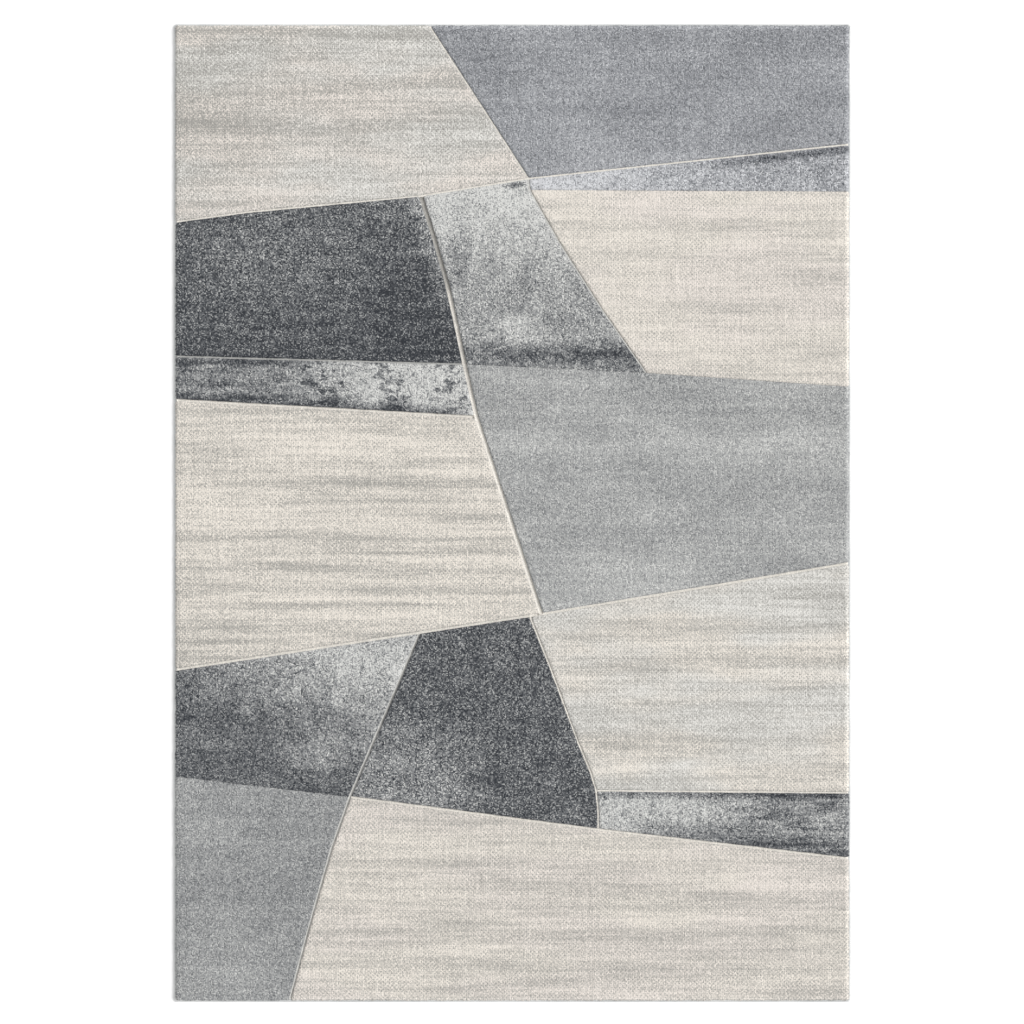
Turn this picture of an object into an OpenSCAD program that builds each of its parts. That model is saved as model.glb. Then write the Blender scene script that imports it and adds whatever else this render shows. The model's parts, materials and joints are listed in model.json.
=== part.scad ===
// Area rug with a carved pattern of large angular patches.
// A woven ground carries patches of full-height cut pile, and low-cut pile lines
// run in the grooves between them. A latex coat backs the ground, and overcast
// stitching round a filler cord binds all four sides.
// +X runs across the rug, +Y along it and +Z up. The origin is the middle of
// the underside.

/* [Rug] */
// Width over the stitched sides
rug_w = 1600; // [1400:20:1800]
// Length over the stitched ends
rug_l = 2312; // [2072:20:2552]
// Rounding of the four corners, seen from above
corner_r = 5; // [3:0.5:5]

/* [Layers] */
// Thickness of the latex coat on the back
coat_t = 0.6; // [0.4:0.1:1]
// Thickness of the woven ground
weave_t = 1.9; // [1.5:0.1:2.2]
// Height of the full pile above the ground
pile_h = 9.5; // [8:0.5:14]
// Height of the low-cut pile in the wide and broad outline lines
low_pile_h = 4.5; // [3:0.5:6]
// Height of the low-cut pile in the fine outline lines
fine_pile_h = 7; // [5:0.5:7.5]

/* [Outline lines] */
// Width of the widest outline line, down the middle diagonal
diagonal_line_w = 11; // [7:0.5:12]
// Width of the broad outline lines
broad_line_w = 7; // [5:0.5:10]
// Width of the fine outline lines
fine_line_w = 5; // [3:0.5:5]

/* [Stitched edges] */
// Width of the stitching, seen from above
edge_w = 7; // [6.5:0.5:7.5]
// Height of the stitching
edge_h = 6; // [5:0.5:6.5]
// Diameter of the filler cord inside the stitching
cord_d = 3.4; // [2.4:0.2:3.6]

/* [Hidden] */
$fn = 48;

PATCHES = [
    "patch_top_left_cream",
    "patch_top_right_grey",
    "patch_upper_wedge_mottled",
    "patch_upper_right_cream",
    "patch_upper_centre_silver",
    "patch_upper_left_anthracite",
    "patch_left_strip_mottled",
    "patch_centre_left_cream",
    "patch_centre_right_grey",
    "patch_lower_right_greige",
    "patch_lower_left_mottled",
    "patch_lower_centre_anthracite",
    "patch_right_strip_mottled",
    "patch_bottom_left_grey",
    "patch_bottom_cream"
];
LINES = [
    "line_upper_cross",
    "line_centre_diagonal",
    "line_lower_cross",
    "line_top_diagonal",
    "line_silver_right",
    "line_anthracite_foot",
    "line_cream_head",
    "line_bottom_diagonal",
    "line_bottom_cross",
    "line_anthracite_right",
    "line_strip_head"
];
SIDES = ["bottom", "right", "top", "left"];

// Colours of the yarns
cream = "#e2dbd0";
greige = "#d0cbc4";
grey = "#a3a7aa";
anthracite = "#63666b";
silver = "#a9acad";
slate = "#7f8388";
line_cream = "#ece7de";
line_grey = "#c3c3c1";
jute = "#b39a73";
latex = "#d9d4c8";
edge_grey = "#c9cbcc";
cord_white = "#e6e2d8";

// Levels, counted up from the floor
weave_z = coat_t;
pile_z = coat_t + weave_t;

// The pile fills the space inside the stitching
pile_w = rug_w - 2 * edge_w;
pile_l = rug_l - 2 * edge_w;

// The stitching's section, measured out from the pile: the filler cord lies in
// its round nose, and the ground weave is tucked in behind the cord
nose_r = edge_h / 2;
nose_x = edge_w - nose_r;
stitch_wall = 0.5;
tuck = nose_x - cord_d / 2 - stitch_wall;

// Cuts run past the faces that they open by this much
past = 1;

// The pattern is drawn on a rug of this size and stretches with the real one
drawn_w = 1600;
drawn_l = 2312;
left = -drawn_w / 2;
right = drawn_w / 2;
bottom = -drawn_l / 2;
top = drawn_l / 2;

function at(x, y) = [x * rug_w / drawn_w, y * rug_l / drawn_l];

// Points where the pattern's lines meet
upper_knot = at(38, 790);
wedge_tip = at(41, 763);
silver_head = at(-216, 749);
silver_foot = at(-113, 351);
silver_heel = at(316, 331);
strip_tip = at(-85, 227);
centre_knot = at(68, -239);
slate_head = at(-219, -283);
anthracite_head = at(41, -243);
bottom_knot = at(-384, -671);
strip_corner = at(198, -656);
anthracite_heel = at(203, -748);

// Where the lines reach the rug's sides and ends
top_break = at(-199, top);
bottom_break = at(-527, bottom);
left_a = at(left, 687);
left_b = at(left, 370);
left_c = at(left, 267);
left_d = at(left, -371);
left_e = at(left, -622);
right_a = at(right, 871);
right_b = at(right, 759);
right_c = at(right, 298);
right_d = at(right, -118);
right_e = at(right, -661);
right_f = at(right, -817);

// The bent stretches between them, from their first point to their last
cream_foot = [left_a, at(-620, 711), silver_head];
silver_left = [silver_head, at(-188, 660), at(-155, 545), at(-135, 455), silver_foot];
silver_right = [wedge_tip, at(109, 642), at(212, 480), silver_heel];
anthracite_side = [anthracite_head, at(92, -371), at(155, -541), at(185, -612), strip_corner];
anthracite_nose = [at(203, -705), anthracite_heel];
bottom_bow = [bottom_knot, at(-427, -792), at(-459, -903), at(-490, -1014), bottom_break];

function reversed(points) = [for (i = [len(points) - 1 : -1 : 0]) points[i]];

// Outlines of the patches, in the order of PATCHES, with their colours
patch_shapes = [
    [cream, [each cream_foot, upper_knot, top_break, at(left, top)]],
    [grey, [top_break, upper_knot, right_a, at(right, top)]],
    [silver, [upper_knot, wedge_tip, right_b, right_a]],
    [cream, [each silver_right, right_c, right_b]],
    [silver, [upper_knot, each silver_left, each reversed(silver_right)]],
    [anthracite, [left_b, each reversed(silver_left), each reversed(cream_foot)]],
    [silver, [left_b, left_c, strip_tip, silver_foot]],
    [cream, [left_c, left_d, centre_knot, strip_tip]],
    [grey, [silver_foot, strip_tip, centre_knot, right_d, right_c, silver_heel]],
    [greige, [centre_knot, each anthracite_side, right_e, right_d]],
    [slate, [left_d, left_e, bottom_knot, slate_head]],
    [anthracite, [slate_head, bottom_knot, each reversed(anthracite_nose), each reversed(anthracite_side)]],
    [slate, [strip_corner, each anthracite_nose, right_f, right_e]],
    [grey, [left_e, at(left, bottom), each reversed(bottom_bow)]],
    [greige, [each bottom_bow, at(right, bottom), right_f, anthracite_heel]]
];

// Routes of the outline lines, in the order of LINES, with colour and width.
// A line that ends on another one comes after it.
line_shapes = [
    [line_cream, fine_line_w, [each cream_foot, upper_knot, right_a]],
    [line_cream, diagonal_line_w, [each silver_left, strip_tip, centre_knot]],
    [line_cream, broad_line_w, [left_d, centre_knot, right_d]],
    [line_cream, fine_line_w, [top_break, upper_knot]],
    [line_grey, fine_line_w, [upper_knot, each silver_right]],
    [line_grey, fine_line_w, [left_b, silver_foot]],
    [line_cream, broad_line_w, [left_c, strip_tip]],
    [line_grey, broad_line_w, [slate_head, each bottom_bow]],
    [line_cream, broad_line_w, [bottom_knot, anthracite_heel, right_f]],
    [line_cream, fine_line_w, [each anthracite_side, each anthracite_nose]],
    [line_cream, fine_line_w, [strip_corner, right_e]]
];

// Sides in the order of SIDES: the turn that brings the bottom end's stitching
// there, how far out it lies, and how long it is
side_places = [
    [0, rug_l / 2, rug_w],
    [90, rug_w / 2, rug_l],
    [180, rug_l / 2, rug_w],
    [270, rug_w / 2, rug_l]
];

function unit_normal(from, to) =
    let (way = to - from)
    [-way.y, way.x] / norm(way);

// Offset of a route's point to its left, mitred between the stretches that meet
function mitre(route, i) =
    let (
        before = unit_normal(route[max(i - 1, 0)], route[max(i, 1)]),
        last = len(route) - 1,
        after = unit_normal(route[min(i, last - 1)], route[min(i + 1, last)])
    )
    (before + after) / (1 + before * after);

// Outline of a band of constant width that follows a route
function band(route, width) = [
    for (i = [0 : len(route) - 1])
        route[i] + mitre(route, i) * width / 2,
    for (i = [len(route) - 1 : -1 : 0])
        route[i] - mitre(route, i) * width / 2
];

// Flat rectangle with round corners, centred on the origin
module rounded_rectangle(width, length, radius) {
    square([width - 2 * radius, length], center = true);
    square([width, length - 2 * radius], center = true);
    for (x = [-1, 1], y = [-1, 1])
        translate([x * (width / 2 - radius), y * (length / 2 - radius)])
            circle(r = radius);
}

// The whole space inside the stitching, from the top of the ground up
module pile_space(height) {
    translate([0, 0, pile_z])
        linear_extrude(height)
            square([pile_w, pile_l], center = true);
}

// Fine lines are sheared less deep than the others
function line_h(line) = line[1] > fine_line_w ? low_pile_h : fine_pile_h;

// Groove that an outline line is sunk in, open at the top
module groove(line) {
    translate([0, 0, pile_z - past])
        linear_extrude(pile_h + 2 * past)
            polygon(band(line[2], line[1]));
}

// Full-height pile of one patch, sheared away along the outline lines
module patch(shape) {
    color(shape[0])
        difference() {
            intersection() {
                pile_space(pile_h);
                translate([0, 0, pile_z - past])
                    linear_extrude(pile_h + 2 * past)
                        polygon(shape[1]);
            }
            for (line = line_shapes)
                groove(line);
        }
}

// Low-cut pile of one outline line, which gives way to the lines before it
module outline_line(index) {
    line = line_shapes[index];
    color(line[0])
        difference() {
            intersection() {
                pile_space(line_h(line));
                groove(line);
            }
            for (i = [0 : 1 : index - 1])
                groove(line_shapes[i]);
        }
}

// Warp and weft of the ground, tucked into the stitching all round
module ground_weave() {
    color(jute)
        translate([0, 0, weave_z])
            linear_extrude(weave_t)
                square([pile_w + 2 * tuck, pile_l + 2 * tuck], center = true);
}

// Latex spread over the back of the ground, level with the stitching
module latex_coat() {
    color(latex)
        linear_extrude(coat_t)
            square([pile_w, pile_l], center = true);
}

// Everything in plan that belongs to one side: mitred at both corners, with the
// rug's round corners
module side_plan(reach, length) {
    inset = edge_w + past;
    intersection() {
        rounded_rectangle(length, 2 * reach, corner_r);
        polygon([
            [-length / 2, -reach],
            [length / 2, -reach],
            [length / 2 - inset, inset - reach],
            [inset - length / 2, inset - reach]
        ]);
    }
}

// Carries a section along one side, from mitre to mitre. The section's x is its
// distance out from the pile.
module along_side(place) {
    reach = place[1];
    length = place[2];
    rotate([0, 0, place[0]])
        intersection() {
            translate([0, edge_w - reach, 0])
                rotate([90, 0, -90])
                    linear_extrude(length, center = true)
                        children();
            translate([0, 0, -past])
                linear_extrude(edge_h + 2 * past)
                    side_plan(reach, length);
        }
}

module cord_section() {
    translate([nose_x, nose_r])
        circle(d = cord_d);
}

module stitch_section() {
    difference() {
        union() {
            square([nose_x, edge_h]);
            translate([nose_x, nose_r])
                circle(r = nose_r);
        }
        cord_section();
        translate([-past, weave_z])
            square([tuck + past, weave_t]);
    }
}

// Overcast stitching along one side, closed round its cord and the ground's edge
module edge_stitching(place) {
    color(edge_grey)
        along_side(place)
            stitch_section();
}

// Filler cord inside the stitching of one side
module filler_cord(place) {
    color(cord_white)
        along_side(place)
            cord_section();
}

for (i = [0 : len(PATCHES) - 1])
    patch(patch_shapes[i]);
for (i = [0 : len(LINES) - 1])
    outline_line(i);
ground_weave();
latex_coat();
for (i = [0 : len(SIDES) - 1])
    edge_stitching(side_places[i]);
for (i = [0 : len(SIDES) - 1])
    filler_cord(side_places[i]);
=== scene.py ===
"""Area rug with a carved pattern of angular patches, dressed for rendering.

Each patch and each outline line of the CAD frame is replaced by a field of cut
tufts that stands on the same outline. Ribbed stitching, a woven ground, a latex
back and three-ply filler cords replace the other plain solids.
"""
import json
import math

import bpy
import numpy as np
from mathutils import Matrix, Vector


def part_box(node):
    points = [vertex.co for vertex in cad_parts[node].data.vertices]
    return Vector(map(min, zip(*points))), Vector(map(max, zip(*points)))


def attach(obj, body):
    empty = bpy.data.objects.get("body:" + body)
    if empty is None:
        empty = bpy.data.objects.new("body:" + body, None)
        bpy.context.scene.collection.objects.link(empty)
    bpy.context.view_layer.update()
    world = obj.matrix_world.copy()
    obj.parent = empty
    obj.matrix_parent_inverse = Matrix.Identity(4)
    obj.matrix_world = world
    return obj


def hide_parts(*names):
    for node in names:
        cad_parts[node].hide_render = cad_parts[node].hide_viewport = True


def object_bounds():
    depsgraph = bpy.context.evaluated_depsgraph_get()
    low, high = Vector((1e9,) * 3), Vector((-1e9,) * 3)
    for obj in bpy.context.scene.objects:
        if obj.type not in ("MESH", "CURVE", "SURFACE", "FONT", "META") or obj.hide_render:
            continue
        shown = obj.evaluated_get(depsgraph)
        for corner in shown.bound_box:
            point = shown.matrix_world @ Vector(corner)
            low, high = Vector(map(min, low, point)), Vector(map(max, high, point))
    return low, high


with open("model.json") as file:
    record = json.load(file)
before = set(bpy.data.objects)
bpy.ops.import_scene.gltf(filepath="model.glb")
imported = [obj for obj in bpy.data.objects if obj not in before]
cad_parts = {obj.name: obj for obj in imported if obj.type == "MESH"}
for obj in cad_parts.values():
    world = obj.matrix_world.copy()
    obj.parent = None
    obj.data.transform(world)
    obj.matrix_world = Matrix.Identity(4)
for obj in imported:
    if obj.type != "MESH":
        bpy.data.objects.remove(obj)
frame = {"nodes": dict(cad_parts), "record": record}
cad_low, cad_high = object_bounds()

# ---------------------------------------------------------------- sizes, in metres

MM = 0.001
TUFT_PITCH = np.array([2.8, 2.6]) * MM        # across and along the rug
LOW_TUFT_PITCH = np.array([1.7, 1.7]) * MM    # the short tufts of the outline lines
WRAP_PITCH = 2.6 * MM                         # from one turn of edge stitching to the next
TOUCH = 0.5 * MM                              # outlines closer than this lie on each other
LEVEL = 0.1 * MM                              # heights closer than this are the same
SIDES = {"bottom": (0, -1), "right": (1, 0), "top": (0, 1), "left": (-1, 0)}

rug_w = cad_high.x - cad_low.x
rug_l = cad_high.y - cad_low.y
pile_top = cad_high.z
pile_low, pile_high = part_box("latex_coat")    # the pile fills the same rectangle as the coat
weave_low, weave_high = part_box("ground_weave")
pile_base = weave_high.z

slot_of = {row["node"]: row["material_slot"] for row in frame["record"]["subparts"]}
patches = sorted(n for n in slot_of if n.startswith("patch_"))
lines = sorted(n for n in slot_of if n.startswith("line_"))


# ---------------------------------------------------------------- mesh helpers

def new_piece(name, points, faces):
    """A mesh object at the origin, with its place in its vertices."""
    mesh = bpy.data.meshes.new(name)
    mesh.from_pydata(points, [], faces)
    mesh.shade_smooth()
    mesh.update()
    piece = bpy.data.objects.new(name, mesh)
    bpy.context.scene.collection.objects.link(piece)
    return piece


def stand_in_for(piece, node, material):
    """Gives a piece its looks and puts it in the place of a plain CAD solid."""
    piece.data.materials.append(material)
    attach(piece, "root")
    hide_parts(node)
    return piece


def next_corners(outline):
    """The corner after each corner of an outline."""
    return np.roll(outline, -1, axis=0)


def top_outline(node):
    """Corners of a CAD node's top face in plan, counterclockwise."""
    mesh = frame["nodes"][node].data
    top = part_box(node)[1].z
    steps = set()
    for face in mesh.polygons:
        corners = [mesh.vertices[v].co for v in face.vertices]
        if min(c.z for c in corners) < top - LEVEL:
            continue
        ring = [(round(c.x, 5), round(c.y, 5)) for c in corners]
        steps.update(zip(ring, ring[1:] + ring[:1]))
    follow = {a: b for a, b in steps if (b, a) not in steps}
    outline = [min(follow)]
    while follow[outline[-1]] != outline[0]:
        outline.append(follow[outline[-1]])
    return np.array(outline)


def from_outline(points, outline):
    """Each point's distance inside an outline, the nearest point on it and that side's number."""
    gap = np.full(len(points), np.inf)
    foot = np.zeros_like(points)
    side = np.zeros(len(points), int)
    inside = np.zeros(len(points), bool)
    for number, (a, b) in enumerate(zip(outline, next_corners(outline))):
        way = b - a
        share = np.clip((points - a) @ way / (way @ way), 0, 1)
        near = a + share[:, None] * way
        distance = np.hypot(*(points - near).T)
        closer = distance < gap
        gap[closer] = distance[closer]
        foot[closer] = near[closer]
        side[closer] = number
        crossed = (a[1] > points[:, 1]) != (b[1] > points[:, 1])
        rise = way[1] if way[1] else 1
        inside ^= crossed & (points[:, 0] < a[0] + (points[:, 1] - a[1]) / rise * way[0])
    return np.where(inside, gap, -gap), foot, side


# ---------------------------------------------------------------- cut pile

# How a side is finished: the share of the height that its rim is cut down by, how far the
# rim's tufts splay out over what is beside them, and how far in the pile is rounded
GROOVE_RIM = (0.10, 0.6 * MM, 3.6 * MM)
BORDER_RIM = (0.28, 2.6 * MM, 7.0 * MM)
TOUCHING_RIM = (0.05, 0.2 * MM, 3.6 * MM)
# An outline's pile rises to its sides by a share of what it lacks to the full pile, which
# is twice that on the left and nothing on the right, as the shears lean
OUTLINE_RISE = 0.4
OUTLINE_SPLAY = 0.3 * MM
OUTLINE_ROUNDING = 3.6 * MM
ROUNDING_POWER = 1.6          # above 1, which keeps the rounding close to the rim
WALL_ROWS = ((0.62, 0.5), (0.28, 0.12), (0.0, 0.0))   # share of height, share of splay
TUFT_STRAY = 0.22             # how far a tuft leans from its place, as a share of the pitch
CELL_INSET = 0.2              # how far inside the outline a cell's middle has to be, likewise
SHEAR_WAVE = (0.25 * MM, 90 * MM)             # height and length of the sheared top's waves
RIM_WAVE = (0.3 * MM, 60 * MM)                # depth and length of a rim's waves
# How far single tufts stand out of the pile or fall short of it
PLAIN_ROUGHNESS = 0.38 * MM
MOTTLED_ROUGHNESS = 0.5 * MM
LOW_ROUGHNESS = 0.25 * MM


def outline_rim(a, b, height):
    """The rim of an outline's side from a to b, for the way that the side faces."""
    faces_right = (b - a)[1] / math.hypot(*(b - a))
    lacking = (pile_top - pile_base - height) / height
    return (-OUTLINE_RISE * (1 - faces_right) * lacking, OUTLINE_SPLAY, OUTLINE_ROUNDING)


def rim_of_side(a, b, own, outlines):
    """Whether a patch's side lies on a groove, on the rug's border or against another patch."""
    middle = (a + b) / 2
    if min(*(middle - np.array(pile_low.xy)), *(np.array(pile_high.xy) - middle)) < TOUCH:
        return BORDER_RIM
    for name, outline in outlines.items():
        if name != own and abs(from_outline(middle[None], outline)[0][0]) < TOUCH:
            return TOUCHING_RIM
    return GROOVE_RIM


def kept_cells(centres_inside):
    """Fills cells until no two kept cells touch only at a corner."""
    kept = centres_inside.copy()
    while True:
        rising = kept[:-1, :-1] & kept[1:, 1:] & ~kept[1:, :-1] & ~kept[:-1, 1:]
        falling = kept[1:, :-1] & kept[:-1, 1:] & ~kept[:-1, :-1] & ~kept[1:, 1:]
        if not (rising.any() or falling.any()):
            return kept
        kept[1:, :-1] |= rising
        kept[:-1, :-1] |= falling


def grid_faces(kept, number):
    """Vertex numbers of each kept cell's corners, counterclockwise."""
    i, j = np.nonzero(kept)
    return np.stack([number[i, j], number[i + 1, j], number[i + 1, j + 1], number[i, j + 1]], 1)


def boundary_steps(kept, number):
    """Grid edges round the kept cells, each with the field on its left."""
    padded = np.pad(kept, 1)
    steps = []
    for (di, dj), (start, end) in {
        (0, -1): ((0, 0), (1, 0)),
        (1, 0): ((1, 0), (1, 1)),
        (0, 1): ((1, 1), (0, 1)),
        (-1, 0): ((0, 1), (0, 0)),
    }.items():
        beyond = padded[1 + di:padded.shape[0] - 1 + di, 1 + dj:padded.shape[1] - 1 + dj]
        i, j = np.nonzero(kept & ~beyond)
        steps.append(np.stack([number[i + start[0], j + start[1]], number[i + end[0], j + end[1]]], 1))
    return np.concatenate(steps)


def rings_of(steps):
    """The boundary steps chained into closed rings of vertex numbers."""
    follow = dict(steps.tolist())
    rings = []
    while follow:
        start, at = follow.popitem()
        ring = [start]
        while at != start:
            ring.append(at)
            at = follow.pop(at)
        rings.append(ring)
    return rings


def wobble(points, size, wavelength):
    """Slow unevenness, from two crossed waves that bend each other."""
    x, y = points.T * (2 * math.pi / wavelength)
    across = np.sin(x + 1.7 * np.sin(0.6 * y))
    along = np.sin(1.31 * y + 1.3 * np.sin(0.7 * x))
    return size * (across + along) / 2


def tuft_field(name, outline, rims, height, pitch, roughness, seed):
    """A closed field of tufts on the ground inside an outline.

    One vertex is one tuft. The outermost tufts stand on the outline itself, and
    walls of pile go down from them to the ground.
    """
    random = np.random.default_rng(seed)
    low = np.floor(outline.min(0) / pitch).astype(int) - 1
    high = np.ceil(outline.max(0) / pitch).astype(int) + 2
    i, j = np.meshgrid(np.arange(low[0], high[0]), np.arange(low[1], high[1]), indexing="ij")
    grid = np.stack([i * pitch[0], j * pitch[1]], -1)
    centres = (grid[:-1, :-1] + pitch / 2).reshape(-1, 2)
    inside = from_outline(centres, outline)[0] > CELL_INSET * pitch.min()
    kept = kept_cells(inside.reshape(len(grid) - 1, -1))

    around = np.zeros(grid.shape[:2], int)
    for di in (0, 1):
        for dj in (0, 1):
            around[di:di + kept.shape[0], dj:dj + kept.shape[1]] += kept
    used = around > 0
    number = np.cumsum(used).reshape(used.shape) - 1
    plan = grid[used]
    outer = around[used] < 4

    gap, foot, side = from_outline(plan, outline)
    drop, splay, reach = np.array(rims)[side].T
    jitter = random.uniform(-TUFT_STRAY, TUFT_STRAY, plan.shape) * pitch
    plan = np.where(outer[:, None], foot, plan + jitter)
    gap = np.where(outer, 0, np.maximum(gap, 0))

    rounding = np.clip(1 - gap / reach, 0, 1) ** ROUNDING_POWER
    uneven = np.clip(random.normal(0, roughness, len(plan)), -2 * roughness, 2 * roughness)
    full = height * (1 - drop * rounding) + uneven * (1 - 0.5 * rounding)
    full += wobble(plan, *SHEAR_WAVE)

    side_way = next_corners(outline) - outline
    outward = np.stack([side_way[:, 1], -side_way[:, 0]], 1)
    outward = (outward / np.hypot(*outward.T)[:, None])[side]
    tuft_out = splay * (1 + random.uniform(-0.5, 0.5, len(plan))) + wobble(plan, *RIM_WAVE)
    tops = np.column_stack([plan + outward * (tuft_out * outer)[:, None], pile_base + full])

    steps = boundary_steps(kept, number)
    rings = rings_of(steps)
    rim = np.array(sorted({v for ring in rings for v in ring}))
    row_of = np.full(len(plan), -1)
    row_of[rim] = np.arange(len(rim))
    points = [tops]
    rows = [np.arange(len(plan))]
    for count, (height_share, splay_share) in enumerate(WALL_ROWS):
        out = outward[rim] * (tuft_out[rim] * splay_share)[:, None]
        points.append(np.column_stack([plan[rim] + out, pile_base + full[rim] * height_share]))
        rows.append(np.where(row_of < 0, -1, row_of + len(plan) + count * len(rim)))

    faces = grid_faces(kept, number).tolist()
    for above, below in zip(rows, rows[1:]):
        a, b = steps.T
        faces += np.stack([above[a], below[a], below[b], above[b]], 1).tolist()
    faces += [rows[-1][ring[::-1]].tolist() for ring in rings]
    return new_piece(name, np.concatenate(points), faces)


# ---------------------------------------------------------------- node helpers

class Field:
    """A number that varies over the rug. Arithmetic on it adds math nodes."""

    def __init__(self, nodes, socket):
        self.nodes = nodes
        self.socket = socket

    def calc(self, operation, *others):
        inputs = dict(enumerate([self, *others]))
        return Field(self.nodes, self.nodes.add("Math", inputs, operation=operation).outputs[0])

    def __add__(self, other):
        return self.calc("ADD", other)

    def __sub__(self, other):
        return self.calc("SUBTRACT", other)

    def __rsub__(self, other):
        return self * -1.0 + other

    def __mul__(self, other):
        return self.calc("MULTIPLY", other)

    __radd__ = __add__
    __rmul__ = __mul__

    def ramp(self, low, high, to_low=0.0, to_high=1.0):
        """Eased step: to_low below low, to_high above high. The ends may be given in falling order."""
        inputs = {"Value": self, "From Min": low, "From Max": high, "To Min": to_low, "To Max": to_high}
        step = self.nodes.add("MapRange", inputs, interpolation_type="SMOOTHSTEP")
        return Field(self.nodes, step.outputs[0])

    def near(self, centre, reach):
        """1 at the centre, easing to 0 at the reach to each side of it."""
        return (self - centre).calc("ABSOLUTE").ramp(reach, 0.0)


SCREEN_GAMMA = 2.2


class Nodes:
    """A material's node tree, with one short call for each node that it gets."""

    def __init__(self, name):
        self.material = bpy.data.materials.new(name)
        self.material.use_nodes = True
        self.tree = self.material.node_tree
        self.shader = self.tree.nodes["Principled BSDF"]

    def feed(self, socket, value):
        value = getattr(value, "socket", value)
        if isinstance(value, bpy.types.NodeSocket):
            self.tree.links.new(value, socket)
        else:
            socket.default_value = value

    def add(self, kind, inputs, **settings):
        node = self.tree.nodes.new("ShaderNode" + kind)
        for key, value in settings.items():
            setattr(node, key, value)
        for key, value in inputs.items():
            self.feed(node.inputs[key], value)
        return node

    def scaled(self, x, y, shift=(0.0, 0.0)):
        """The point on the rug, so scaled that a pattern gets x and y units in a metre."""
        place = self.add("TexCoord", {}).outputs["Object"]
        inputs = {0: place, 1: (x, y, 0.0), 2: (*shift, 0.0)}
        return self.add("VectorMath", inputs, operation="MULTIPLY_ADD").outputs[0]

    def axes(self, vector):
        return [Field(self, socket) for socket in self.add("SeparateXYZ", {0: vector}).outputs[:2]]

    def clouds(self, x, y, seed, detail=3.0, roughness=0.5, distortion=0.0):
        """Soft noise about zero, with x and y clouds in a metre each way."""
        inputs = {"Vector": self.scaled(x, y, (seed, 1.7 * seed)), "Scale": 1.0, "Detail": detail,
                  "Roughness": roughness, "Distortion": distortion}
        return Field(self, self.add("TexNoise", inputs, noise_dimensions="2D").outputs["Fac"]) - 0.5

    def mix(self, share, a, b, blend="MIX"):
        return self.add("Mix", {0: share, 6: a, 7: b}, data_type="RGBA", blend_type=blend).outputs[2]

    def finish(self, colour, tone, roughness, sheen, height, strength, depth):
        """Colour is as seen on a screen; tone brightens or darkens it."""
        grey = self.add("CombineXYZ", {0: tone, 1: tone, 2: tone}).outputs[0]
        toned = self.mix(1.0, colour, grey, "MULTIPLY")
        linear = self.add("Gamma", {"Color": toned, "Gamma": SCREEN_GAMMA}).outputs[0]
        bump = self.add("Bump", {"Height": height, "Strength": strength, "Distance": depth}).outputs[0]
        self.feed(self.shader.inputs["Base Color"], linear)
        self.feed(self.shader.inputs["Roughness"], roughness)
        self.feed(self.shader.inputs["Normal"], bump)
        self.shader.inputs["Sheen Weight"].default_value = sheen
        self.shader.inputs["Sheen Roughness"].default_value = 0.5
        self.shader.inputs["Specular IOR Level"].default_value = 0.2
        return self.material


def screen(red, green, blue):
    """A colour as seen on a screen, from levels of 0 to 255."""
    return (red / 255, green / 255, blue / 255, 1.0)


# ---------------------------------------------------------------- pile materials

CREAM = screen(230, 223, 213)
PALE_CREAM = screen(244, 239, 230)
WHITE = screen(223, 221, 216)
ROSE = screen(229, 221, 213)
DOT_GREY = screen(158, 156, 151)
SILVER = screen(214, 214, 211)
BLUISH_SILVER = screen(212, 213, 216)
SLATE = screen(50, 53, 58)
PEARL = screen(214, 213, 209)
ASH = screen(178, 178, 176)

# What brightens or darkens the pile, and by how much
BASE_TONE = 0.93
TUFT_GAP_SHADE = 0.10              # painted shade: a tuft's middle lighter than its sides, darker in the gaps between tufts
TUFT_TONE = 0.06              # one tuft over another
FIBRE_TONE = 0.28
REED_TONE = 0.10              # upright stripes, from the loom's reed
COMBING_TONE = 0.015          # one column of tufts over the next
# How much the painted highlight brightens the pile along the rug's border, where its rounded edge would
# catch the light
BORDER_HIGHLIGHT = 0.11
BORDER_HIGHLIGHT_FADE = (9 * MM, -2 * MM)               # insets where the painted highlight along the border begins and is full


def painted_border_highlight(nodes):
    """Painted highlight along the rug's border: 1 beside the stitching, easing to 0 within the rug."""
    x, y = nodes.axes(nodes.scaled(1.0, 1.0))
    inset = (pile_high.x - x.calc("ABSOLUTE")).calc("MINIMUM", pile_high.y - y.calc("ABSOLUTE"))
    return inset.ramp(*BORDER_HIGHLIGHT_FADE)


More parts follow.
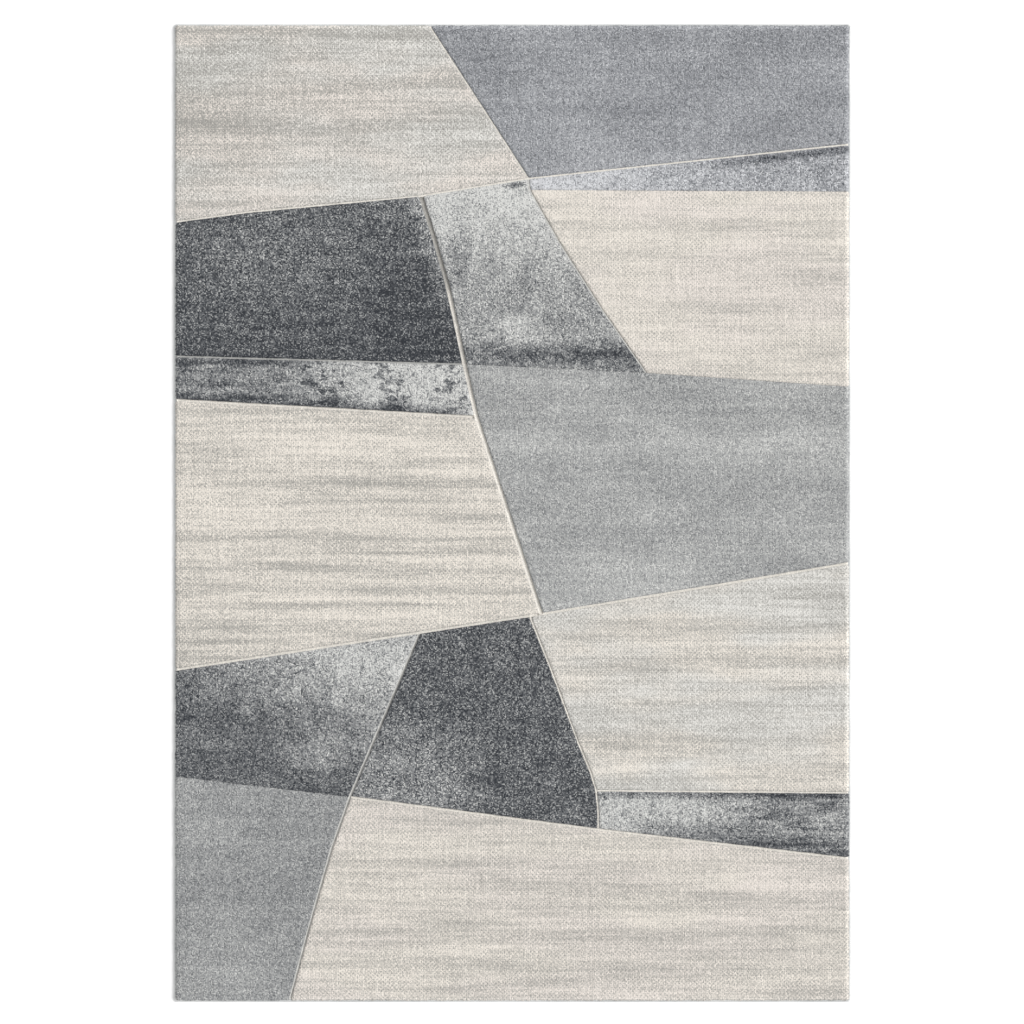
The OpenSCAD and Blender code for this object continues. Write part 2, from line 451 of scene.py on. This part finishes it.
def pile(name, light, dark, darkness, speckle, other_light=None, pitch=TUFT_PITCH):
    """Cut pile woven of a light and a dark yarn.

    darkness(nodes) says how much of the dark yarn there is, place by place, and
    speckle how widely single tufts stray from that.
    """
    nodes = Nodes(name)
    cells = {"Vector": nodes.scaled(1 / pitch[0], 1 / pitch[1]), "Scale": 1.0, "Randomness": 0.6}
    tufts = nodes.add("TexVoronoi", cells, voronoi_dimensions="2D").outputs
    picked, shade = nodes.axes(tufts["Color"])
    picked = picked - 0.5
    dome = Field(nodes, tufts["Distance"]).ramp(0.75, 0.1)
    stray = picked * (0.6 + picked * picked * 4.0) * speckle
    share = (darkness(nodes) + stray).calc("MAXIMUM", 0.0).calc("MINIMUM", 1.0)
    if other_light:
        light = nodes.mix(nodes.clouds(2.2, 7.0, 31.0).ramp(-0.12, 0.12), light, other_light)
    fibre = nodes.clouds(1500, 1500, 2.0, roughness=0.7)
    reeds = nodes.clouds(180, 9, 5.0, detail=1.0)
    combing = nodes.axes(nodes.scaled(math.pi / pitch[0], 1.0))[0].calc("SINE")
    # The border term is a painted highlight along the rug's edges.
    # The dome term is painted shade in the gaps between the tufts.
    tone = (BASE_TONE + dome * TUFT_GAP_SHADE + (shade - 0.5) * TUFT_TONE + fibre * FIBRE_TONE
            + reeds * REED_TONE + combing * COMBING_TONE + painted_border_highlight(nodes) * BORDER_HIGHLIGHT)
    return nodes.finish(nodes.mix(share, light, dark), tone, roughness=fibre.ramp(-0.2, 0.2, 0.82, 0.97),
                        sheen=0.2, height=dome + fibre * 0.8, strength=0.7, depth=1.0 * MM)


# ---------------------------------------------------------------- how dark each patch is

# Each patch and line has a function that gives its share of dark yarn, place by place. The
# numbers in it are such shares, or places and reaches in u and v.

def across_patch(nodes, node, waver=0.0):
    """u and v, which go from 0 to 1 across and along a patch, made to waver a little."""
    low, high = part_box(node)
    x, y = nodes.axes(nodes.scaled(1.0, 1.0))
    u = (x - low.x) * (1 / (high.x - low.x))
    v = (y - low.y) * (1 / (high.y - low.y))
    return u + nodes.clouds(12, 16, 41.0) * waver, v + nodes.clouds(12, 16, 43.0) * waver


def spot(u, v, place, reach):
    """1 in the middle of an oval smudge, easing to 0 at its edge."""
    du = (u - place[0]) * (1 / reach[0])
    dv = (v - place[1]) * (1 / reach[1])
    return (du * du + dv * dv).ramp(1.0, 0.0)


def streaks(nodes, seed):
    """Long thin streaks across the rug, in broad soft bands."""
    thin = nodes.clouds(5.0, 110, seed, detail=2.0, roughness=0.6)
    long = nodes.clouds(1.6, 26, seed + 3, detail=3.0, distortion=0.2)
    return thin * 0.8 + long * 0.9


DOT_SPACING = 3.6             # tufts from one dot of a cream patch to the next in its row
DOT_WANDER = 4.0              # how far the rows of dots stray, in radians of their wave


def dotted(nodes, darkness):
    """Gathers the dark tufts of a cream patch in dots on a grid, as the loom places them."""
    x, y = nodes.axes(nodes.scaled(*(2 * math.pi / (DOT_SPACING * TUFT_PITCH))))
    x = x + nodes.clouds(30, 30, 95.0) * DOT_WANDER
    y = y + nodes.clouds(30, 30, 96.0) * DOT_WANDER
    crossings = (x.calc("SINE") * y.calc("SINE")).ramp(0.1, 0.9)
    strength = nodes.clouds(8, 60, 97.0).ramp(-0.2, 0.15, 0.3, 1.0)
    return darkness - 0.08 + crossings * strength * 0.58


def top_left_cream(nodes):
    """Greyer at the left and top, a grey streak at half height and a warm band below."""
    u, v = across_patch(nodes, "patch_top_left_cream", 0.1)
    base = 0.49 + v.ramp(0.15, 0.45, -0.16, 0.0) + u.ramp(0.0, 0.4, 0.13, 0.0)
    return dotted(nodes, base + v.near(0.5, 0.05) * 0.2 + streaks(nodes, 1.0))


def upper_right_cream(nodes):
    """The warmest cream, with faint streaks and a bright band under its head."""
    v = across_patch(nodes, "patch_upper_right_cream", 0.1)[1]
    return dotted(nodes, 0.28 - v.near(0.95, 0.08) * 0.12 + streaks(nodes, 4.0) * 0.8)


def centre_left_cream(nodes):
    """Grey streaks every few centimetres, closer together towards the lower left."""
    u, v = across_patch(nodes, "patch_centre_left_cream", 0.1)
    bands = nodes.clouds(1.0, 40, 7.0, detail=1.0) * 0.9
    return dotted(nodes, 0.36 + v.ramp(0.5, 0.1) * u.ramp(0.6, 0.1) * 0.14 + bands + streaks(nodes, 8.0))


def lower_right_greige(nodes):
    """Even, and a little greyer along its right side."""
    u = across_patch(nodes, "patch_lower_right_greige", 0.1)[0]
    return dotted(nodes, 0.34 + u.ramp(0.8, 1.0) * 0.04 + streaks(nodes, 12.0))


def bottom_cream(nodes):
    """Even, with a paler spot near the middle of its right side."""
    u, v = across_patch(nodes, "patch_bottom_cream", 0.1)
    return dotted(nodes, 0.40 - spot(u, v, (0.88, 0.6), (0.16, 0.12)) * 0.2 + streaks(nodes, 16.0) * 0.9)


def plain_grey(nodes, middle, seed):
    """Broad soft clouds with faint bands across them."""
    return middle + nodes.clouds(4, 10, seed) * 0.22 + nodes.clouds(2, 60, seed + 3, detail=1.0) * 0.12


def top_right_grey(nodes):
    """A little paler towards its foot."""
    v = across_patch(nodes, "patch_top_right_grey", 0.1)[1]
    return plain_grey(nodes, 0.41, 20.0) - v.ramp(0.5, 0.1) * 0.05


def centre_right_grey(nodes):
    """A paler band a third of the way down, and a paler lower left corner."""
    u, v = across_patch(nodes, "patch_centre_right_grey", 0.1)
    corner = spot(u, v, (0.4, 0.05), (0.35, 0.3))
    return plain_grey(nodes, 0.32, 23.0) - v.near(0.68, 0.08) * 0.06 - corner * 0.06


def bottom_left_grey(nodes):
    """Paler at its left, near the head and near the foot."""
    u, v = across_patch(nodes, "patch_bottom_left_grey", 0.1)
    light = spot(u, v, (0.15, 0.85), (0.4, 0.25)) + spot(u, v, (0.2, 0.1), (0.5, 0.2))
    return plain_grey(nodes, 0.43, 26.0) - light * 0.06


def upper_left_anthracite(nodes):
    """Paler over its upper half and along its right rim, darkest along the foot and at the lower right."""
    u, v = across_patch(nodes, "patch_upper_left_anthracite", 0.1)
    pale = spot(u, v, (0.35, 0.65), (0.4, 0.35)) * 0.12 + spot(u, v, (0.75, 0.95), (0.3, 0.2)) * 0.08
    dark = v.ramp(0.3, 0.0) * 0.08 + spot(u, v, (0.85, 0.3), (0.25, 0.4)) * 0.08
    rough = nodes.clouds(22, 40, 30.0) * 0.35 + nodes.clouds(3, 60, 33.0) * 0.25
    paler_right_rim = (u + v * 0.16).ramp(0.96, 0.99) * v.ramp(0.2, 0.5) * 0.2
    return 0.78 - pale - paler_right_rim + dark + rough


def lower_centre_anthracite(nodes):
    """Paler in the lower left corner, with faint upright streaks beside it."""
    u, v = across_patch(nodes, "patch_lower_centre_anthracite", 0.1)
    pale = spot(u, v, (0.2, 0.2), (0.4, 0.4)) * 0.22
    upright = nodes.clouds(60, 5, 36.0) * spot(u, v, (0.5, 0.4), (0.4, 0.5)) * 0.35
    return 0.75 - pale - upright + nodes.clouds(18, 24, 38.0, detail=4.0) * 0.35


def mottle(nodes, seed):
    """Uneven velvet, with small dark flecks in it."""
    cloudy = nodes.clouds(14, 18, seed, detail=6.0, roughness=0.65)
    flecks = nodes.clouds(70, 90, seed + 3, detail=3.0, roughness=0.7)
    return cloudy * 0.5 + flecks * 0.25 + flecks.ramp(0.08, 0.25) * 0.12


def upper_wedge(nodes):
    """Pale on the left, with a dark streak that grows along its head to the right."""
    u, v = across_patch(nodes, "patch_upper_wedge_mottled")
    below_head = u * 0.84 + 0.16 - v
    streak = below_head.near(0.07, 0.17) * u.ramp(0.4, 0.8) * 0.36
    return 0.07 + u.ramp(0.0, 0.75, 0.0, 0.24) + streak + mottle(nodes, 50.0)


def upper_centre_silver(nodes):
    """Pale head with a dark dash, and a dark band near the foot with a light smudge over it."""
    u, v = across_patch(nodes, "patch_upper_centre_silver", 0.06)
    fade = v.ramp(1.0, 0.35, 0.06, 0.38)
    ragged = nodes.clouds(30, 60, 57.0, detail=4.0) * 2.0 + 1.0
    band = v.near(0.09, 0.11) * u.ramp(0.1, 0.5, 0.5, 1.0) * ragged * 0.34
    smudge = spot(u, v, (0.42, 0.22), (0.2, 0.1)) * ragged * 0.17
    dash = spot(u, v, (0.41, 0.98), (0.06, 0.02)) * 0.5
    left = spot(u, v, (0.17, 0.65), (0.06, 0.2)) * 0.16
    return fade + band - smudge + dash + left + mottle(nodes, 55.0)


def left_strip(nodes):
    """Dark and streaked on the left, whitish with dark blots on the right, dark along the foot."""
    u, v = across_patch(nodes, "patch_left_strip_mottled", 0.05)
    ragged = nodes.clouds(44, 60, 60.0, detail=5.0, roughness=0.65)
    blots = (ragged + nodes.clouds(12, 14, 61.0) * 0.6).ramp(0.0, 0.17) * u.ramp(0.25, 0.5)
    streaked = nodes.clouds(12, 60, 63.0, detail=5.0, roughness=0.6) * u.ramp(0.6, 0.2)
    foot = (v + u * 0.25 + ragged * 0.5).ramp(0.5, 0.2) * u.ramp(0.99, 0.85) * u.ramp(0.4, 0.7, 0.36, 0.6)
    head = v.near(0.92, 0.12) * u.ramp(0.6, 0.3) * 0.2
    return u.ramp(0.2, 0.75, 0.56, 0.12) + blots * 0.5 + streaked + foot + head + mottle(nodes, 66.0) * 0.6


def lower_left(nodes):
    """Bright upper right with curved dark flecks, darker lower left, pale smudge low down."""
    u, v = across_patch(nodes, "patch_lower_left_mottled", 0.12)
    fade = (u * 0.55 + v * 0.95).ramp(0.45, 1.3, 0.70, 0.17)
    smudge = spot(u, v, (0.62, 0.28), (0.2, 0.16)) * 0.2
    curls = nodes.clouds(16, 20, 70.0, detail=2.0, distortion=1.6).near(0.02, 0.03) * v.ramp(0.3, 0.7) * 0.3
    return fade - smudge + curls + mottle(nodes, 73.0)


def right_strip(nodes):
    """Pale with blots on the left, dark and streaked on the right, with a dark head and foot."""
    u, v = across_patch(nodes, "patch_right_strip_mottled", 0.05)
    ragged = nodes.clouds(44, 60, 83.0, detail=5.0, roughness=0.65)
    head = v.near(0.97, 0.12) * 0.3
    foot = (v + u * 0.5 + ragged * 0.5).ramp(0.8, 0.5) * u.ramp(0.1, 0.25) * 0.25
    streaked = nodes.clouds(10, 80, 80.0, detail=4.0, roughness=0.6) * u.ramp(0.3, 0.7)
    blots = ragged.ramp(0.05, 0.25) * u.ramp(0.8, 0.4) * 0.35
    return 0.19 + u.ramp(0.25, 0.75, 0.0, 0.3) + head + foot + streaked + blots + mottle(nodes, 86.0) * 0.8


def outline_darkness(nodes):
    """Nearly all pale yarn, and a little uneven."""
    return 0.06 + nodes.clouds(40, 40, 90.0) * 0.3


def diagonal_darkness(nodes):
    """The middle diagonal is palest below the left cross line and fades out near its head."""
    v = across_patch(nodes, "line_centre_diagonal")[1]
    return outline_darkness(nodes) + v.ramp(0.45, 0.6) * 0.24 + v.ramp(0.75, 0.81) * 0.6


# ---------------------------------------------------------------- looks of the patches and lines

def outline_pile(name, light, darkness=outline_darkness):
    """The fine tufts of an outline line."""
    return pile(name, light, DOT_GREY, darkness, 0.3, pitch=LOW_TUFT_PITCH)


looks = {
    "patch_top_left_cream": pile("top_left_cream", WHITE, DOT_GREY, top_left_cream, 0.68, ROSE),
    "patch_upper_right_cream": pile("upper_right_cream", CREAM, DOT_GREY, upper_right_cream, 0.45, ROSE),
    "patch_centre_left_cream": pile("centre_left_cream", CREAM, DOT_GREY, centre_left_cream, 0.62),
    "patch_lower_right_greige": pile("lower_right_greige", CREAM, DOT_GREY, lower_right_greige, 0.56, WHITE),
    "patch_bottom_cream": pile("bottom_cream", CREAM, DOT_GREY, bottom_cream, 0.5, ROSE),
    "patch_top_right_grey": pile("top_right_grey", BLUISH_SILVER, SLATE, top_right_grey, 0.31),
    "patch_centre_right_grey": pile("centre_right_grey", SILVER, SLATE, centre_right_grey, 0.30),
    "patch_bottom_left_grey": pile("bottom_left_grey", SILVER, SLATE, bottom_left_grey, 0.33),
    "patch_upper_left_anthracite": pile("upper_left_anthracite", SILVER, SLATE, upper_left_anthracite, 0.62),
    "patch_lower_centre_anthracite": pile("lower_centre_anthracite", SILVER, SLATE,
                                          lower_centre_anthracite, 0.62),
    "patch_upper_wedge_mottled": pile("upper_wedge", BLUISH_SILVER, SLATE, upper_wedge, 0.45),
    "patch_upper_centre_silver": pile("upper_centre_silver", SILVER, SLATE, upper_centre_silver, 0.5),
    "patch_left_strip_mottled": pile("left_strip", SILVER, SLATE, left_strip, 0.5),
    "patch_lower_left_mottled": pile("lower_left", SILVER, SLATE, lower_left, 0.5),
    "patch_right_strip_mottled": pile("right_strip", SILVER, SLATE, right_strip, 0.5),
    "outline_cream": outline_pile("outline_cream", PALE_CREAM),
    "line_centre_diagonal": outline_pile("centre_diagonal", PALE_CREAM, diagonal_darkness),
    "line_anthracite_foot": outline_pile("anthracite_foot", ASH),
    "outline_grey": outline_pile("outline_grey", PEARL),
}


# ---------------------------------------------------------------- yarn, weave and latex materials

YARN_SPACING = 2.5 * MM       # of the ground weave, which shows through the latex too


def yarn_material(name, colour, shade, fineness):
    """Spun yarn with its plies running slantwise, closer together the higher the fineness."""
    nodes = Nodes(name)
    fibre = nodes.clouds(700, 700, 1.0)
    share = (fibre * 0.6 + nodes.clouds(9, 9, 4.0)).ramp(-0.2, 0.2)
    bands = {"Vector": nodes.scaled(fineness, fineness), "Scale": 1.0, "Distortion": 0.6}
    wave = nodes.add("TexWave", bands, wave_type="BANDS", bands_direction="DIAGONAL")
    height = fibre * 0.6 + Field(nodes, wave.outputs["Fac"])
    return nodes.finish(nodes.mix(share, shade, colour), 1.0 + fibre * 0.2,
                        roughness=fibre.ramp(-0.2, 0.2, 0.7, 0.9),
                        sheen=0.15, height=height, strength=0.5, depth=0.2 * MM)


def weave_material(name, warp, weft, speck, depth):
    """Plain weave: warp and weft pass over each other in turn."""
    nodes = Nodes(name)
    x, y = nodes.axes(nodes.scaled(math.pi / YARN_SPACING, math.pi / YARN_SPACING))
    over = x.calc("SINE") * y.calc("SINE")
    fibre = nodes.clouds(800, 800, 1.0)
    colour = nodes.mix(over.ramp(-0.2, 0.2), warp, weft)
    colour = nodes.mix(nodes.clouds(30, 200, 6.0).ramp(-0.1, 0.3, 0.0, 0.4), colour, speck)
    return nodes.finish(colour, 1.0 + fibre * 0.2, roughness=fibre.ramp(-0.2, 0.2, 0.75, 0.95),
                        sheen=0.1, height=over.calc("ABSOLUTE") + fibre * 0.4, strength=0.7, depth=depth)


looks["edge_yarn"] = yarn_material(
    "edge_yarn", colour=screen(214, 215, 214), shade=screen(192, 194, 194), fineness=900)
looks["cord_yarn"] = yarn_material(
    "cord_yarn", colour=screen(224, 219, 208), shade=screen(197, 190, 176), fineness=500)
looks["ground_yarn"] = weave_material(
    "ground_yarn", warp=screen(180, 156, 118), weft=screen(198, 184, 154), speck=screen(118, 98, 70),
    depth=0.5 * MM)
looks["latex"] = weave_material(
    "latex", warp=screen(206, 200, 187), weft=screen(216, 211, 200), speck=screen(188, 180, 164),
    depth=0.3 * MM)


def look_of(node):
    """A node's own look, or else the look of its material slot."""
    return looks.get(node) or looks[slot_of[node]]


# ---------------------------------------------------------------- pile pieces

FIRST_LINE_SEED = 100
FIRST_EDGE_SEED = 200

outlines = {node: top_outline(node) for node in patches}
for seed, node in enumerate(patches):
    outline = outlines[node]
    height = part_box(node)[1].z - pile_base
    rims = [rim_of_side(a, b, node, outlines) for a, b in zip(outline, next_corners(outline))]
    roughness = MOTTLED_ROUGHNESS if slot_of[node] == "pile_mottled" else PLAIN_ROUGHNESS
    name = node.replace("patch_", "pile_")
    piece = tuft_field(name, outline, rims, height, TUFT_PITCH, roughness, seed)
    stand_in_for(piece, node, look_of(node))

for seed, node in enumerate(lines, FIRST_LINE_SEED):
    outline = top_outline(node)
    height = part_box(node)[1].z - pile_base
    rims = [outline_rim(a, b, height) for a, b in zip(outline, next_corners(outline))]
    name = node.replace("line_", "low_pile_")
    piece = tuft_field(name, outline, rims, height, LOW_TUFT_PITCH, LOW_ROUGHNESS, seed)
    stand_in_for(piece, node, look_of(node))


# ---------------------------------------------------------------- stitched edges

stitch_low, stitch_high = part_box("edge_stitching_bottom")
edge_w = stitch_high.y - stitch_low.y
edge_h = stitch_high.z - stitch_low.z
# Each mitred end stops short of the sharp corner by 1 - 1 / sqrt(2) of the corner's radius
corner_r = (rug_w - (stitch_high.x - stitch_low.x)) / (2 - math.sqrt(2))
nose_r = edge_h / 2
nose_x = edge_w - nose_r
cord_low, cord_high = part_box("filler_cord_bottom")
cord_r = (cord_high.z - cord_low.z) / 2
WRAP_DEPTH = 0.45 * MM        # of the groove between two turns
WRAP_SLANT = 0.6              # turns that a wrap gains from the top of the edge to its underside
WRAP_STATIONS = 4             # rings of the mesh in one turn
RIB_POWER = 0.7               # below 1, which makes the ribs full and the grooves narrow
WRAP_UNEVENNESS = 0.2 * MM    # what the thinnest yarn lacks to the thickest
CORD_STEP = 3 * MM
PLY_LAY = 4 * MM              # length of cord in which its plies turn by one radian
PLIES = 3
PLY_CENTRE = 0.86             # mean radius of the cord and the rise of its plies, as shares
PLY_RISE = 0.12               # of the plain CAD cord's radius


def side_frame(side):
    """Along and outward directions of a side, with half its length and how far out it reaches."""
    outward = np.array(SIDES[side], float)
    along = np.array([-outward[1], outward[0]])
    half = (rug_l if outward[0] else rug_w) / 2
    reach = (rug_w if outward[0] else rug_l) / 2
    return along, outward, half, reach


def tube(name, side, stations, section):
    """Skins rings along a side, from station -1 at one end to 1 at the other.

    section(station) gives a ring's distance out from the pile and its height.
    """
    along, outward, half, reach = side_frame(side)
    points = []
    for station in stations:
        out, height = section(station)
        corner = np.clip(abs(station) * half - (half - corner_r), 0, corner_r)
        shrink = 1 - (corner_r - math.sqrt(corner_r ** 2 - corner ** 2)) / edge_w
        out = out * shrink
        run = station * (half - edge_w + out)
        plan = np.outer(run, along) + np.outer(reach - edge_w + out, outward)
        points.append(np.column_stack([plan, height]))
    count = len(points[0])
    ring = np.arange(count)
    after = np.roll(ring, -1)
    faces = []
    for number in range(len(points) - 1):
        a = number * count
        faces += np.stack([a + ring, a + after, a + count + after, a + count + ring], 1).tolist()
    last = (len(points) - 1) * count
    faces.append(ring[::-1].tolist())
    faces.append((last + ring).tolist())
    return new_piece(name, np.concatenate(points), faces)


def wrap_section(half, random):
    """Section of the stitching: ribs where the yarn turns round the edge, grooves between."""
    turns = np.linspace(math.pi / 2, -math.pi / 2, 9)
    out = np.concatenate([[0.0, nose_x / 2], nose_x + nose_r * np.cos(turns), [nose_x / 2, 0.0]])
    height = np.concatenate([[edge_h, edge_h], nose_r + nose_r * np.sin(turns), [0.0, 0.0]])
    normal = np.concatenate([[math.pi / 2] * 2, turns, [-math.pi / 2] * 2])
    lag = np.linspace(0, WRAP_SLANT, len(out))
    missing = WRAP_UNEVENNESS * random.uniform(0.0, 1.0, int(2 * half / WRAP_PITCH) + 4)

    def section(station):
        turn = (station + 1) * half / WRAP_PITCH + lag
        rib = np.abs(np.cos(math.pi * turn)) ** RIB_POWER
        inset = WRAP_DEPTH * (1 - rib) + missing[np.floor(turn + 0.5).astype(int)]
        return out - inset * np.cos(normal), height - inset * np.sin(normal)
    return section


def cord_section(half):
    """Section of the three-ply filler cord, turning as it runs along."""
    angles = np.linspace(0, 2 * math.pi, 12, endpoint=False)[::-1]

    def section(station):
        lay = station * half / PLY_LAY
        radius = cord_r * (PLY_CENTRE + PLY_RISE * np.cos(PLIES * (angles - lay)))
        return nose_x + radius * np.cos(angles), nose_r + radius * np.sin(angles)
    return section


for seed, side in enumerate(SIDES, FIRST_EDGE_SEED):
    half = side_frame(side)[2]
    stations = np.linspace(-1, 1, int(2 * half / WRAP_PITCH) * WRAP_STATIONS + 1)
    piece = tube("stitching_" + side, side, stations, wrap_section(half, np.random.default_rng(seed)))
    stand_in_for(piece, "edge_stitching_" + side, looks["edge_yarn"])
    stations = np.linspace(-1, 1, int(2 * half / CORD_STEP))
    piece = tube("cord_" + side, side, stations, cord_section(half))
    stand_in_for(piece, "filler_cord_" + side, looks["cord_yarn"])


# ---------------------------------------------------------------- ground weave and latex coat

TOP_WAVE = 70 * MM            # length of the dips in a slab's top
UNDER_WAVE = 55 * MM          # and in its underside


def cloth_slab(name, low, high, step, dip):
    """A thin closed slab whose faces dip and rise a little, as laid cloth does."""
    columns = int((high.x - low.x) / step)
    rows = int((high.y - low.y) / step)
    x = np.linspace(low.x, high.x, columns + 1)
    y = np.linspace(low.y, high.y, rows + 1)
    plan = np.stack(np.meshgrid(x, y, indexing="ij"), -1).reshape(-1, 2)
    top = np.column_stack([plan, high.z - np.abs(wobble(plan, dip, TOP_WAVE))])
    under = np.column_stack([plan, low.z + np.abs(wobble(plan, dip, UNDER_WAVE))])
    kept = np.ones((columns, rows), bool)
    number = np.arange(len(plan)).reshape(columns + 1, rows + 1)
    cells = grid_faces(kept, number)
    faces = cells.tolist() + (cells[:, ::-1] + len(plan)).tolist()
    a, b = boundary_steps(kept, number).T
    faces += np.stack([a, a + len(plan), b + len(plan), b], 1).tolist()
    return new_piece(name, np.concatenate([top, under]), faces)


ground = cloth_slab("ground_cloth", weave_low, weave_high, step=12 * MM, dip=0.05 * MM)
stand_in_for(ground, "ground_weave", looks["ground_yarn"])
coat_low, coat_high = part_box("latex_coat")
backing = cloth_slab("latex_backing", coat_low, coat_high, step=10 * MM, dip=0.08 * MM)
stand_in_for(backing, "latex_coat", looks["latex"])


# ---------------------------------------------------------------- floor, light and camera

FLOOR_HALF = 12.0
FLOOR_WHITE = screen(244, 244, 244)
SKY_STRENGTH = 0.72
SUN_STRENGTH = 2.25
SUN_SPREAD = math.radians(24)
SUN_TURN = (math.radians(-12), math.radians(46), 0)
LENS = 85                     # millimetres
PICTURE_L = rug_l * 1.046     # height of the picture at the top of the pile
OFF_CENTRE = (-0.0005 * rug_w, 0.001 * rug_l)


def pale_floor():
    """A large white floor under the rug."""
    corners = [(FLOOR_HALF * x, FLOOR_HALF * y, 0) for x, y in ((-1, -1), (1, -1), (1, 1), (-1, 1))]
    floor = new_piece("floor", corners, [(0, 1, 2, 3)])
    nodes = Nodes("floor_paint")
    speck = nodes.clouds(300, 300, 1.0)
    paint = nodes.finish(FLOOR_WHITE, 1.0 + speck * 0.01,
                         roughness=speck.ramp(-0.2, 0.2, 0.78, 0.82),
                         sheen=0.0, height=speck, strength=0.05, depth=0.1 * MM)
    floor.data.materials.append(paint)


def studio_light():
    """Even light from all round, with a soft key light from the upper right of the picture."""
    world = bpy.data.worlds.new("studio")
    world.use_nodes = True
    background = world.node_tree.nodes["Background"]
    background.inputs["Color"].default_value = (1.0, 1.0, 1.0, 1.0)
    background.inputs["Strength"].default_value = SKY_STRENGTH
    bpy.context.scene.world = world
    lamp = bpy.data.lights.new("key", "SUN")
    lamp.energy = SUN_STRENGTH
    lamp.angle = SUN_SPREAD
    key = bpy.data.objects.new("key", lamp)
    key.rotation_euler = SUN_TURN
    bpy.context.scene.collection.objects.link(key)


def overhead_camera():
    """Looks straight down, with the rug a little short of the picture's full height."""
    lens = bpy.data.cameras.new("overhead")
    lens.lens = LENS
    distance = PICTURE_L / 2 / (lens.sensor_width / 2 / lens.lens)
    camera = bpy.data.objects.new("overhead", lens)
    camera.location = (*OFF_CENTRE, pile_top + distance)
    bpy.context.scene.collection.objects.link(camera)
    bpy.context.scene.camera = camera


pale_floor()
studio_light()
overhead_camera()
bpy.context.scene.view_settings.view_transform = "Standard"
